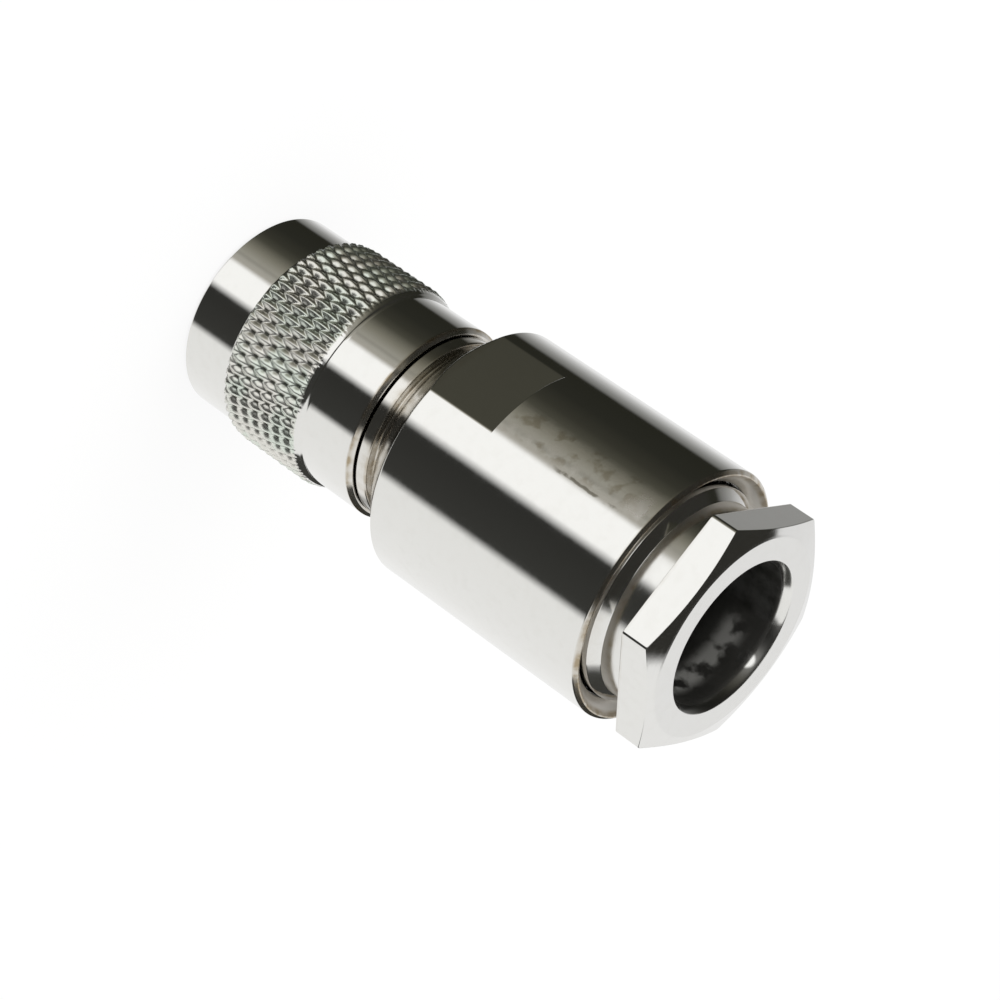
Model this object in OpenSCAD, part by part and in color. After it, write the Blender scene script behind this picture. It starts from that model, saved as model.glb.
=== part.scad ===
// Clamp-type threaded coaxial plug: knurled coupling nut, stepped body and hex clamp nut.
// Millimetres. It stands on the coupling nut's rim with the cable end up and its axis on Z.
// The two screw threads are plain cylinders here, at the radii where the crests run.

/* [Coupling nut] */
// Diameter of the smooth bands
nut_d = 14.6; // [13.6:0.1:17]
// Overall length
nut_length = 16.25; // [14:0.05:20]
// Smooth band between the rim and the knurl
front_band = 4.4; // [2:0.1:6]
// Length of the knurled band
knurl_length = 7.2; // [4:0.1:8.5]
// Depth of the knurl, crest to groove
knurl_depth = 0.38; // [0.2:0.02:0.6]
// Height of the knurl's grooves above the smooth bands
knurl_rise = 0.14; // [0.05:0.01:0.3]
// Diamonds in one turn
knurl_count = 56; // [36:2:72]
// Rows of diamonds along the knurl
knurl_rows = 7; // [4:1:9]
// Minor diameter of the coupling thread
coupling_bore = 10.3; // [9.8:0.05:11]
// Depth of the coupling thread behind the rim
thread_depth = 7.4; // [5:0.1:8]
// Depth of the relief behind the coupling thread
thread_relief = 0.6; // [0.4:0.05:0.8]
// Length of the inner flange that turns on the neck
flange_length = 4.9; // [3.5:0.1:6]

/* [Mating face] */
// Outside diameter of the outer contact sleeve
contact_d = 8.1; // [7.6:0.05:8.6]
// Wall of the outer contact sleeve
contact_wall = 0.65; // [0.4:0.05:0.9]
// Distance of the sleeve behind the rim
contact_recess = 2.2; // [1:0.1:3.5]
// Spring slots in the sleeve
slot_count = 4; // [2:1:8]
// Width of a spring slot
slot_w = 0.5; // [0.3:0.05:0.8]
// Depth of a spring slot
slot_depth = 4.2; // [2:0.1:5.5]
// Diameter of the centre pin
pin_d = 1.35; // [1.2:0.05:1.6]
// Distance of the pin's tip behind the rim
pin_recess = 3.9; // [3:0.1:5]
// Step from the pin to the contact's shank
shank_step = 0.35; // [0.2:0.05:0.5]
// Step from the shank to the contact's solder cup
cup_step = 0.55; // [0.3:0.05:0.8]
// Wall of the solder cup
cup_wall = 0.4; // [0.25:0.05:0.6]
// Depth of the solder cup
cup_depth = 4; // [2:0.1:5]
// Length of the solder cup inside the front insulator
cup_hold = 3; // [2:0.1:4]
// Length of the solder cup behind the insulators
cup_show = 1; // [0.5:0.1:2]
// Diameter of the insulator's open socket
socket_d = 4.85; // [4.4:0.05:5.4]
// Distance of the insulator behind the sleeve's edge
insulator_recess = 2; // [0.5:0.1:3]
// Length of the rear insulator
rear_length = 2; // [1:0.1:3]
// Length of the neck ahead of the spring ring
neck_nose = 1.35; // [0.8:0.05:2]
// Thickness of the seal that rings the sleeve
seal_t = 1; // [0.6:0.05:1.4]
// Thickness of the spring ring that holds the coupling nut
ring_t = 0.9; // [0.6:0.05:1.2]
// Depth of the spring ring's groove in the neck
ring_bite = 0.45; // [0.3:0.05:0.6]
// Gap angle of the spring ring
ring_gap = 40; // [20:1:70]

/* [Body] */
// Free space between the coupling nut and the shoulder
nut_gap = 0.15; // [0.1:0.05:1]
// Diameter of the shoulder behind the coupling nut
shoulder_d = 13.7; // [12.6:0.1:15]
// Length of the shoulder
shoulder_w = 0.9; // [0.5:0.05:1.5]
// Length of the groove behind the shoulder
groove_w = 0.85; // [0.4:0.05:1.5]
// Depth of the groove behind the shoulder
groove_depth = 0.65; // [0.3:0.05:0.8]
// Length of the barrel's 45 degree front cone
cone_w = 2.08; // [1:0.02:2.6]
// Length of the barrel behind the cone
barrel_length = 18.25; // [16.5:0.05:26]
// Wall of the barrel round its open mouth
barrel_wall = 1.2; // [1.15:0.05:2.5]
// Outer chamfer at the barrel's mouth
mouth_chamfer = 0.25; // [0.1:0.05:0.6]
// Flat land of the mouth's rim, between its outer and inner chamfers
mouth_land = 0.1; // [0.05:0.05:0.4]
// Depth of the smooth mouth ahead of the thread
mouth_depth = 2.1; // [1:0.05:3]
// Depth of each wrench flat below the barrel
flat_depth = 0.62; // [0.3:0.02:0.9]
// Length of the wrench flats behind the cone
flat_length = 5.5; // [3:0.1:8]

/* [Cable clamp] */
// Diameter of the cable that goes in
cable_d = 10.3; // [9.8:0.05:11]
// Free space round the cable
cable_clearance = 0.1; // [0.05:0.01:0.2]
// Wall of the rubber cable seal
seal_wall = 1.6; // [1.2:0.05:2.2]
// Length of the rubber cable seal
seal_length = 5.3; // [4:0.1:6]
// Thickness of the slip washer
washer_t = 0.8; // [0.5:0.05:1.2]
// Length of the braid clamp's flange
clamp_flange = 1.7; // [1:0.1:2.5]
// Length of the braid clamp's tail
clamp_tail = 3.2; // [2:0.1:4]
// Taper of the braid clamp's tail
tail_taper = 0.6; // [0.3:0.05:1]
// Bore of the braid clamp, for the cable's core
core_bore = 7.5; // [7:0.05:8.2]
// Depth of the clamp thread's profile
thread_step = 0.55; // [0.4:0.05:0.7]
// Length of the clamp nut's waist between the barrel and the hex
waist_show = 2.4; // [1.2:0.1:5]
// Step from the collar down to the waist, cut at 45 degrees
waist_step = 0.65; // [0.3:0.05:0.9]
// Length of the clamp nut's collar, inside the barrel's mouth
collar_w = 1.15; // [0.6:0.05:1.5]
// Depth of the collar's rear edge below the barrel's end
collar_sink = 0.35; // [0.1:0.05:0.6]
// Free space between the collar and the barrel's mouth
collar_gap = 0.15; // [0.1:0.01:0.3]
// Hex size across flats
hex_af = 15.875; // [15:0.125:17]
// Height of the hex
hex_h = 2.55; // [2:0.05:5]
// Inset of the hex's round end face from its flats
face_inset = 0.6; // [0.3:0.05:1]
// Angle of the hex's end chamfer
hex_chamfer_angle = 18; // [10:1:30]
// Widening of the cable bore's rounded entry
entry_flare = 0.42; // [0.2:0.02:0.6]
// Depth of the cable bore's rounded entry
entry_depth = 0.95; // [0.6:0.05:1.5]
// Turn of the hex from the wrench flats
hex_turn = -3; // [-30:1:30]

/* [Hidden] */
$fn = 96;

run_gap = 0.2;
press_gap = 0.05;
thread_gap = 0.15;
edge = 0.3;
rim_lead = 0.55;
knurl_bite = 0.4;
eps = 1;

nickel = [0.76, 0.76, 0.74];
gold = [0.86, 0.69, 0.36];
white_insulator = [0.95, 0.95, 0.93];
black_rubber = [0.10, 0.10, 0.10];

nut_r = nut_d / 2;
knurl_root_r = nut_r + knurl_rise;
knurl_crest_r = knurl_root_r + knurl_depth;
knurl_core_r = nut_r - knurl_bite;
knurl_cols = 2 * knurl_count;
coupling_r = coupling_bore / 2;
relief_r = coupling_r + thread_relief;
flange_front = nut_length - flange_length;

contact_r = contact_d / 2;
insulator_bore_r = contact_r - contact_wall;
neck_r = coupling_r - thread_gap;
flange_bore_r = neck_r + run_gap;
ring_back = flange_front - run_gap;
ring_front = ring_back - ring_t;
ring_in_r = neck_r - ring_bite;
ring_out_r = relief_r - thread_gap;
neck_front = ring_front - neck_nose;

shoulder_front = nut_length + nut_gap;
shoulder_r = shoulder_d / 2;
groove_front = shoulder_front + shoulder_w;
cone_front = groove_front + groove_w;
barrel_front = cone_front + cone_w;
barrel_back = barrel_front + barrel_length;

bore_r = cable_d / 2 + cable_clearance;
seal_r = bore_r + press_gap + seal_wall;
cavity_r = seal_r + press_gap;
clamp_thread_r = cavity_r + thread_step;
mouth_r = clamp_thread_r + thread_step;
barrel_r = mouth_r + barrel_wall;
mouth_lead = barrel_wall - mouth_chamfer - mouth_land;
flat_y = barrel_r - flat_depth;

cavity_floor = cone_front + cone_w - edge * 2;
clamp_front = cavity_floor + press_gap;
clamp_back = clamp_front + clamp_flange + clamp_tail;
seal_front = clamp_back + press_gap;
seal_back = seal_front + seal_length;
washer_front = seal_back + press_gap;
washer_back = washer_front + washer_t;
shank_front = washer_back + press_gap;
shank_r = clamp_thread_r - thread_gap;
collar_r = mouth_r - collar_gap;
collar_back = barrel_back - collar_sink;
collar_front = collar_back - collar_w;
waist_r = collar_r - waist_step;
hex_back = barrel_back + waist_show;
hex_end = hex_back + hex_h;
hex_corner_r = hex_af / 2 / cos(30);
hex_face_r = hex_af / 2 - face_inset;
entry_angle = 2 * atan(entry_flare / entry_depth);
entry_r = entry_depth / sin(entry_angle);
entry_steps = 6;

insulator_front = contact_recess + insulator_recess;
insulator_r = insulator_bore_r - press_gap;
rear_back = cavity_floor - press_gap;
rear_front = rear_back - rear_length;
insulator_back = rear_front - press_gap;
shank_pin_r = pin_d / 2 + shank_step;
cup_r = shank_pin_r + cup_step;
cup_front = insulator_back - cup_hold;
cup_back = cavity_floor + cup_show;

// A crest or a groove crossing of the knurl, alternating along rows and columns
function knurl_r(row, col) =
  (row + col) % 2 == 1 ? knurl_root_r
  : row == 0 || row == knurl_rows ? knurl_crest_r - knurl_depth / 2
  : knurl_crest_r;

function knurl_point(row, col, r) =
  let (a = 360 * col / knurl_cols)
  [r * cos(a), r * sin(a), front_band + knurl_length * row / knurl_rows];

// Index of a lattice point, wrapped round the turn
function at(row, col) = row * knurl_cols + col % knurl_cols;

// Two facets of a lattice cell, split along the groove that crosses it
function knurl_cell(row, col) =
  let (a = at(row, col), b = at(row, col + 1), c = at(row + 1, col + 1), d = at(row + 1, col))
  (row + col) % 2 == 0 ? [[a, d, b], [b, d, c]] : [[a, d, c], [a, c, b]];

module knurl_band() {
  inner = knurl_rows + 1;
  lattice = [for (row = [0:knurl_rows], col = [0:knurl_cols - 1])
             knurl_point(row, col, knurl_r(row, col))];
  core = [for (row = [0, knurl_rows], col = [0:knurl_cols - 1])
          knurl_point(row, col, knurl_core_r)];
  skin = [for (row = [0:knurl_rows - 1], col = [0:knurl_cols - 1], f = knurl_cell(row, col)) f];
  front = [for (c = [0:knurl_cols - 1])
           [at(0, c), at(0, c + 1), at(inner, c + 1), at(inner, c)]];
  back = [for (c = [0:knurl_cols - 1])
          [at(knurl_rows, c), at(inner + 1, c), at(inner + 1, c + 1), at(knurl_rows, c + 1)]];
  wall = [for (c = [0:knurl_cols - 1])
          [at(inner, c), at(inner, c + 1), at(inner + 1, c + 1), at(inner + 1, c)]];
  polyhedron(points = concat(lattice, core), faces = concat(skin, front, back, wall));
}

// A turned ring between two radii with plain ends
module ring(r_in, r_out, z0, z1) {
  rotate_extrude() polygon([[r_in, z0], [r_out, z0], [r_out, z1], [r_in, z1]]);
}

module coupling_nut() {
  color(nickel) union() {
    rotate_extrude() polygon([
      [coupling_r + rim_lead, 0],
      [nut_r - edge, 0],
      [nut_r, edge],
      [nut_r, nut_length - edge],
      [nut_r - edge, nut_length],
      [flange_bore_r, nut_length],
      [flange_bore_r, flange_front],
      [relief_r, flange_front],
      [relief_r, thread_depth],
      [coupling_r, thread_depth],
      [coupling_r, rim_lead]
    ]);
    knurl_band();
  }
}

module spring_ring() {
  color(nickel) difference() {
    ring(ring_in_r, ring_out_r, ring_front, ring_back);
    linear_extrude(height = nut_length)
      polygon([[0, 0],
               for (s = [-1, 1]) 2 * relief_r * [cos(s * ring_gap / 2), sin(s * ring_gap / 2)]]);
  }
}

module face_seal() {
  color(black_rubber)
    ring(contact_r + press_gap, neck_r - press_gap, neck_front - press_gap - seal_t,
         neck_front - press_gap);
}

module body_turned() {
  rotate_extrude() polygon([
    [insulator_bore_r, contact_recess],
    [contact_r - edge / 2, contact_recess],
    [contact_r, contact_recess + edge / 2],
    [contact_r, neck_front],
    [neck_r, neck_front],
    [neck_r, ring_front - press_gap],
    [ring_in_r - press_gap, ring_front - press_gap],
    [ring_in_r - press_gap, ring_back + press_gap],
    [neck_r, ring_back + press_gap],
    [neck_r, shoulder_front],
    [shoulder_r, shoulder_front],
    [shoulder_r, groove_front],
    [shoulder_r - groove_depth, groove_front],
    [shoulder_r - groove_depth, cone_front],
    [barrel_r - cone_w, cone_front],
    [barrel_r, barrel_front],
    [barrel_r, barrel_back - mouth_chamfer],
    [barrel_r - mouth_chamfer, barrel_back],
    [mouth_r + mouth_lead, barrel_back],
    [mouth_r, barrel_back - mouth_lead],
    [mouth_r, barrel_back - mouth_depth],
    [clamp_thread_r, barrel_back - mouth_depth],
    [clamp_thread_r, washer_front],
    [cavity_r, washer_front],
    [cavity_r, cavity_floor],
    [insulator_bore_r, cavity_floor]
  ]);
}

module wrench_flats() {
  for (s = [-1, 1])
    translate([-barrel_r, s > 0 ? flat_y : -flat_y - barrel_r, cone_front - eps])
      cube([2 * barrel_r, barrel_r, eps + cone_w + flat_length]);
}

module spring_slots() {
  for (k = [0:slot_count - 1])
    rotate(360 * (k + 0.5) / slot_count)
      translate([insulator_bore_r - eps, -slot_w / 2, contact_recess - eps])
        cube([contact_wall + 2 * eps, slot_w, slot_depth + eps]);
}

module body() {
  color(nickel) difference() {
    body_turned();
    wrench_flats();
    spring_slots();
  }
}

module front_insulator() {
  color(white_insulator) rotate_extrude() polygon([
    [socket_d / 2, insulator_front],
    [insulator_r, insulator_front],
    [insulator_r, insulator_back],
    [cup_r + press_gap, insulator_back],
    [cup_r + press_gap, cup_front - press_gap],
    [shank_pin_r + press_gap, cup_front - press_gap],
    [shank_pin_r + press_gap, neck_front],
    [socket_d / 2, neck_front]
  ]);
}

module rear_insulator() {
  color(white_insulator) ring(cup_r + press_gap, insulator_r, rear_front, rear_back);
}

module centre_contact() {
  tip = pin_d / 4;
  color(gold) rotate_extrude() polygon([
    [0, pin_recess],
    [tip, pin_recess],
    [pin_d / 2, pin_recess + 2 * tip],
    [pin_d / 2, neck_front],
    [shank_pin_r, neck_front],
    [shank_pin_r, cup_front],
    [cup_r, cup_front],
    [cup_r, cup_back],
    [cup_r - cup_wall, cup_back],
    [cup_r - cup_wall, cup_back - cup_depth],
    [0, cup_back - cup_depth]
  ]);
}

module braid_clamp() {
  tail_front = clamp_front + clamp_flange;
  color(nickel) rotate_extrude() polygon([
    [core_bore / 2, clamp_front],
    [cavity_r - press_gap, clamp_front],
    [cavity_r - press_gap, tail_front],
    [bore_r + tail_taper, tail_front],
    [bore_r, clamp_back],
    [core_bore / 2, clamp_back]
  ]);
}

module cable_seal() {
  notch = seal_wall / 2;
  color(black_rubber) rotate_extrude() polygon([
    [bore_r + press_gap, seal_front],
    [bore_r + press_gap + notch, seal_front + notch],
    [seal_r, seal_front],
    [seal_r, seal_back],
    [bore_r + press_gap, seal_back]
  ]);
}

module slip_washer() {
  color(nickel) ring(bore_r + press_gap, seal_r, washer_front, washer_back);
}

module hex_head() {
  drop = (hex_corner_r - hex_face_r) * tan(hex_chamfer_angle);
  intersection() {
    translate([0, 0, hex_back])
      rotate(270 + hex_turn) cylinder(r = hex_corner_r, h = hex_h, $fn = 6);
    rotate_extrude() polygon([
      [0, hex_back],
      [hex_corner_r + eps, hex_back],
      [hex_corner_r + eps, hex_end - drop - eps * tan(hex_chamfer_angle)],
      [hex_face_r, hex_end],
      [0, hex_end]
    ]);
  }
}

module clamp_nut() {
  color(nickel) difference() {
    union() {
      hex_head();
      rotate_extrude() polygon([
        [0, shank_front],
        [shank_r - edge, shank_front],
        [shank_r, shank_front + edge],
        [shank_r, collar_front],
        [collar_r, collar_front],
        [collar_r, collar_back],
        [waist_r, collar_back + waist_step],
        [waist_r, hex_back + hex_h / 2],
        [0, hex_back + hex_h / 2]
      ]);
    }
    rotate_extrude() polygon([
      [0, shank_front - eps],
      [bore_r, shank_front - eps],
      for (k = [0:entry_steps])
        let (a = entry_angle * k / entry_steps)
        [bore_r + entry_r * (1 - cos(a)), hex_end - entry_depth + entry_r * sin(a)],
      [bore_r + entry_flare, hex_end + eps],
      [0, hex_end + eps]
    ]);
  }
}

coupling_nut();
spring_ring();
face_seal();
body();
front_insulator();
rear_insulator();
centre_contact();
braid_clamp();
cable_seal();
slip_washer();
clamp_nut();
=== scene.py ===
import math

import bmesh
import bpy
from mathutils import Matrix, Vector


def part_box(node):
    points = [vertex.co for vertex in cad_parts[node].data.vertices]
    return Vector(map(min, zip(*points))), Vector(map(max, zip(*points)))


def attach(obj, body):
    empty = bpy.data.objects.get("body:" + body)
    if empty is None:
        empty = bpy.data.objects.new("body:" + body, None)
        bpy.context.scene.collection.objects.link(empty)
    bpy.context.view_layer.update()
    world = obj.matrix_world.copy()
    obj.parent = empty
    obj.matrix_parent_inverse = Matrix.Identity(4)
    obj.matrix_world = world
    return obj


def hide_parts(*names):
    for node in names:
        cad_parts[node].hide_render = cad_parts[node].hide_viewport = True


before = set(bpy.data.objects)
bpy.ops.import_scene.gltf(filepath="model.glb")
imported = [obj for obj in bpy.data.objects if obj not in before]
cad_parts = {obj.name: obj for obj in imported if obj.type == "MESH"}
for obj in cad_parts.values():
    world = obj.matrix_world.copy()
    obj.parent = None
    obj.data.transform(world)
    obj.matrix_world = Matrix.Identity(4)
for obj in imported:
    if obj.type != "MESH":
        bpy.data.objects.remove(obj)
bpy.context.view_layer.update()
scene = bpy.context.scene
scene.view_settings.view_transform = "Standard"
mm = 0.001
fullTurn = 2 * math.pi
print("frame loaded:", len(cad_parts), "solids")


def low(node):
    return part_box(node)[0].z / mm


def high(node):
    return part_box(node)[1].z / mm


def reach(node):
    return max(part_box(node)[1].x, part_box(node)[1].y) / mm


# the photograph's camera: angles in degrees, aim and distance in millimetres, clip in metres
cameraSet = {
    "azimuth": 33.33, "elevation": 29.05, "roll": 124.91,
    "aim": (0.54, 1.52, 23.45), "distance": 218.46,
    "lens": 119.25, "sensor": 36, "clip": (0.005, 20),
}


def addCamera(s):
    a, e, roll = (math.radians(s[k]) for k in ("azimuth", "elevation", "roll"))
    back = Vector((math.sin(a) * math.cos(e), -math.cos(a) * math.cos(e), math.sin(e)))
    level = Vector((math.cos(a), math.sin(a), 0))
    right = level * math.cos(roll) + back.cross(level) * math.sin(roll)  # the plug lies across the frame
    turn = Matrix((right, back.cross(right), back)).transposed().to_4x4()
    data = bpy.data.cameras.new("photoCamera")
    data.lens, data.sensor_width = s["lens"], s["sensor"]
    data.clip_start, data.clip_end = s["clip"]
    camera = bpy.data.objects.new("photoCamera", data)
    camera.matrix_world = Matrix.Translation((Vector(s["aim"]) + back * s["distance"]) * mm) @ turn
    scene.collection.objects.link(camera)
    scene.camera = camera


addCamera(cameraSet)
print("camera set")


class Wire:  # one shader socket; sums on it add Math nodes
    def __init__(self, tree, socket=None):
        self.tree, self.socket = tree, socket

    def node(self, kind, settings=None, values=None, out=0):
        made = self.tree.nodes.new(kind)
        for key, value in (settings or {}).items():
            if key == "stops":
                ramp = made.color_ramp.elements
                for place, colour in value[2:]:
                    ramp.new(place).color = (*colour, 1)
                for stop, (place, colour) in zip(ramp, value):
                    stop.position, stop.color = place, (*colour, 1)
            else:
                setattr(made, key, value)
        for key, value in (values or {}).items():
            if isinstance(value, Wire):
                self.tree.links.new(value.socket, made.inputs[key])
            else:
                made.inputs[key].default_value = value
        return Wire(self.tree, made.outputs[out] if made.outputs else None)

    def other(self, name):  # another output of the same node
        return Wire(self.tree, self.socket.node.outputs[name])

    def sum(self, operation, first, second=0.0):
        return self.node("ShaderNodeMath", {"operation": operation}, {0: first, 1: second})

    def __add__(self, b):
        return self.sum("ADD", self, b)

    def __radd__(self, b):
        return self.sum("ADD", b, self)

    def __sub__(self, b):
        return self.sum("SUBTRACT", self, b)

    def __rsub__(self, b):
        return self.sum("SUBTRACT", b, self)

    def __mul__(self, b):
        return self.sum("MULTIPLY", self, b)

    def __rmul__(self, b):
        return self.sum("MULTIPLY", b, self)

    def __truediv__(self, b):
        return self.sum("DIVIDE", self, b)

    def __rtruediv__(self, b):
        return self.sum("DIVIDE", b, self)

    def __pow__(self, b):
        return self.sum("POWER", self, b)

    def __rpow__(self, b):
        return self.sum("POWER", b, self)


def startMaterial(name):
    material = bpy.data.materials.new(name)
    material.use_nodes = True
    material.node_tree.nodes.clear()
    return material, Wire(material.node_tree)


def closeMaterial(w, values):
    surface = w.node("ShaderNodeBsdfPrincipled", None, values)
    w.node("ShaderNodeOutputMaterial", None, {"Surface": surface})


def ease(w, value, start, end):  # 0 before start, 1 after end, smooth between
    return w.node("ShaderNodeMapRange", {"interpolation_type": "SMOOTHSTEP"},
                  {"Value": value, "From Min": start, "From Max": end})


def between(w, value, start, end, rise, fall):  # 1 from start to end, with soft edges inside them
    return ease(w, value, start, start + rise) * (1 - ease(w, value, end - fall, end))


def blendColour(w, share, first, second):
    first = first if isinstance(first, Wire) else (*first, 1)
    second = second if isinstance(second, Wire) else (*second, 1)
    return w.node("ShaderNodeMix", {"data_type": "RGBA"}, {0: share, 6: first, 7: second}, 2)


def speckle(w, point, scale, detail=3.0):
    return w.node("ShaderNodeTexNoise", None, {"Vector": point, "Scale": scale, "Detail": detail}, "Fac")


def rings(w, along, scale, detail=2.0):  # lines left by the lathe, run round the axis
    return w.node("ShaderNodeTexNoise", {"noise_dimensions": "1D"},
                  {"W": along, "Scale": scale, "Detail": detail}, "Fac")


def bump(w, height, depth, under=None):
    values = {"Strength": 1.0, "Distance": depth, "Height": height}
    if under:
        values["Normal"] = under
    return w.node("ShaderNodeBump", None, values)


def lathePlace(w):  # where a point lies on its piece, in millimetres
    here = w.node("ShaderNodeTexCoord", None, None, "Object")
    point = w.node("ShaderNodeVectorMath", {"operation": "SCALE"}, {0: here, "Scale": 1 / mm})
    x = w.node("ShaderNodeSeparateXYZ", None, {0: point}, "X")
    y, z = x.other("Y"), x.other("Z")
    return {"point": point, "x": x, "y": y, "z": z, "radius": (x * x + y * y) ** 0.5}


# nickel plate: places in millimetres, depths in metres; gloss is roughness, share is how much of a colour,
# and a From pair says where a noise starts to count and where it counts in full
nickelSet = {
    "colour": (0.79, 0.785, 0.77), "gloss": 0.065,
    "shade": (0.72, 0.71, 0.68), "shadeFrom": (0.45, 0.75), "shadeShare": 0.2,
    "tarnishAndShade": (0.40, 0.33, 0.23), "tarnishAndShadeFrom": (0.3, 0.75), "tarnishAndShadeLeast": 0.55, "tarnishAndShadeMore": 0.9,
    "tarnishAndShadeGloss": 0.14, "tall": 45.0,
    "sootAndShade": (0.10, 0.098, 0.09), "sootAndShadeFrom": (0.35, 0.6), "sootAndShadeLeast": 0.75, "sootAndShadeMore": 0.25,
    "mottleScale": 1.3, "mottleDetail": 4.0, "mottleFrom": (0.35, 0.8), "mottleGloss": 0.03,
    "waveDepth": 0.0000012, "cloudScale": 0.45,
    "lineRate": 5.0, "lineDetail": 4.0, "lineFrom": (0.5, 0.9), "lineGloss": 0.03, "lineDepth": 0.00000016,
    "boreR": 5.5, "boreSoft": 0.05, "boreGloss": 0.28, "boreDull": 0.1,
}
hexNickelSet = {**nickelSet, "boreR": 5.28}
# tarnish and painted shade along the axis, darkest in grooves, on edges and round gaps: height and share
nutTarnishAndShade = [(14.0, 0.0), (15.87, 0.0), (15.94, 0.95), (16.04, 0.8), (16.13, 0.35), (16.25, 0.3)]
bodyTarnishAndShade = [
    (12.0, 0.3), (16.3, 0.3), (16.45, 0.22), (17.18, 0.25), (17.26, 0.7), (17.32, 1.0), (17.42, 0.5),
    (17.6, 0.1), (18.1, 0.12), (18.3, 0.3), (19.3, 0.28), (20.1, 0.12), (20.4, 0.0),
    (38.15, 0.0), (38.24, 0.4), (38.34, 0.75), (38.48, 0.8),
]
clampTarnishAndShade = [(37.0, 0.4), (38.2, 0.1), (38.9, 0.0), (40.7, 0.0), (40.9, 0.15), (41.1, 0.0)]


def nickelFinish(name, s, tarnishAndShade, *marks):
    material, w = startMaterial(name)
    place = lathePlace(w)
    lines = rings(w, place["radius"] + place["z"], s["lineRate"], s["lineDetail"])
    mottle = speckle(w, place["point"], s["mottleScale"], s["mottleDetail"])
    cloud = speckle(w, place["point"], s["cloudScale"])
    inside = 1 - ease(w, place["radius"], s["boreR"], s["boreR"] + s["boreSoft"])  # bores are duller
    stops = [(h / s["tall"], (share, share, share)) for h, share in tarnishAndShade]
    tarnishAndShadeShare = w.node("ShaderNodeValToRGB", {"stops": stops}, {0: place["z"] / s["tall"]})
    tarnishAndShadeShare = tarnishAndShadeShare * (s["tarnishAndShadeLeast"] + s["tarnishAndShadeMore"] * ease(w, mottle, *s["tarnishAndShadeFrom"]))
    # soot and painted shade: bores and inner walls are darkened, as they lie in shade
    sootAndShade = inside * (s["sootAndShadeLeast"] + s["sootAndShadeMore"] * ease(w, cloud, *s["sootAndShadeFrom"]))
    colour = blendColour(w, ease(w, mottle, *s["shadeFrom"]) * s["shadeShare"], s["colour"], s["shade"])
    # tarnish and painted shade: the ramp darkens grooves, edges and gaps, where shade falls
    colour = blendColour(w, w.node("ShaderNodeClamp", None, {0: tarnishAndShadeShare}), colour, s["tarnishAndShade"])
    colour = blendColour(w, sootAndShade, colour, s["sootAndShade"])
    rough = s["gloss"] + s["mottleGloss"] * ease(w, mottle, *s["mottleFrom"])
    rough = rough + s["lineGloss"] * ease(w, lines, *s["lineFrom"]) + s["tarnishAndShadeGloss"] * tarnishAndShadeShare
    rough = rough + inside * (s["boreGloss"] - s["gloss"])
    place.update(inside=inside, mottle=mottle, cloud=cloud)
    look = {"colour": colour, "rough": rough, "dull": inside * s["boreDull"], "height": mottle}
    for mark, markSet in marks:
        mark(w, place, look, markSet)
    closeMaterial(w, {
        "Base Color": look["colour"], "Metallic": 1 - look["dull"], "Roughness": look["rough"],
        "Normal": bump(w, lines, s["lineDepth"], bump(w, look["height"], s["waveDepth"]))})
    return material


knurlSet = {
    "start": 4.4, "end": 11.25, "soft": 0.05, "gloss": 0.24,
    "cool": (0.71, 0.78, 0.70), "warm": (0.79, 0.775, 0.725), "warmFrom": (0.4, 0.6), "tintShare": 0.8,
    "root": 7.52, "pit": 0.09, "wall": (7.0, 7.2),
    "grime": (0.045, 0.045, 0.035), "grimeShare": 0.9, "grimeGloss": 0.2,
}


def knurlMark(w, place, look, s):  # matt diamonds, with grime and painted shade in the pits
    band = between(w, place["z"], s["start"] - s["soft"], s["end"] + s["soft"], s["soft"], s["soft"])
    pit = band * (1 - ease(w, place["radius"], s["root"], s["root"] + s["pit"]))
    pit = pit * ease(w, place["radius"], *s["wall"])  # not in the bore
    tint = blendColour(w, ease(w, place["cloud"], *s["warmFrom"]), s["cool"], s["warm"])
    colour = blendColour(w, band * s["tintShare"], look["colour"], tint)
    # grime and painted shade darken the pits
    look["colour"] = blendColour(w, pit * s["grimeShare"], colour, s["grime"])
    look["rough"] = look["rough"] + pit * s["grimeGloss"] + band * s["gloss"]


mouthSet = {"r": 8.95, "rSoft": 0.03, "start": 37.4, "rise": 0.1, "share": 0.35, "gloss": 0.28}


def mouthMark(w, place, look, s):  # the lead-in at the barrel's mouth is rougher, and tinted with tarnish and painted shade
    lead = 1 - ease(w, place["radius"], s["r"] - s["rSoft"], s["r"])
    lead = lead * ease(w, place["z"], s["start"], s["start"] + s["rise"])
    # tarnish and painted shade on the lead-in
    look["colour"] = blendColour(w, lead * s["share"], look["colour"], nickelSet["tarnishAndShade"])
    look["rough"] = look["rough"] + lead * s["gloss"]


shoulderShadeSet = {
    "start": 16.2, "end": 17.35, "soft": 0.1, "r": 6.5, "side": (0.7, 1.7),
    "colour": (0.10, 0.095, 0.08), "share": 0.85,
}


def shoulderShadeMark(w, place, look, s):  # painted shade on one side of the shoulder
    grime = ease(w, place["y"], *s["side"]) * ease(w, place["radius"], s["r"], s["r"] + s["soft"])
    grime = grime * between(w, place["z"], s["start"], s["end"], s["soft"], s["soft"])
    # painted shade: the shoulder is darker on this side
    look["colour"] = blendColour(w, grime * s["share"], look["colour"], s["colour"])


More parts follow.
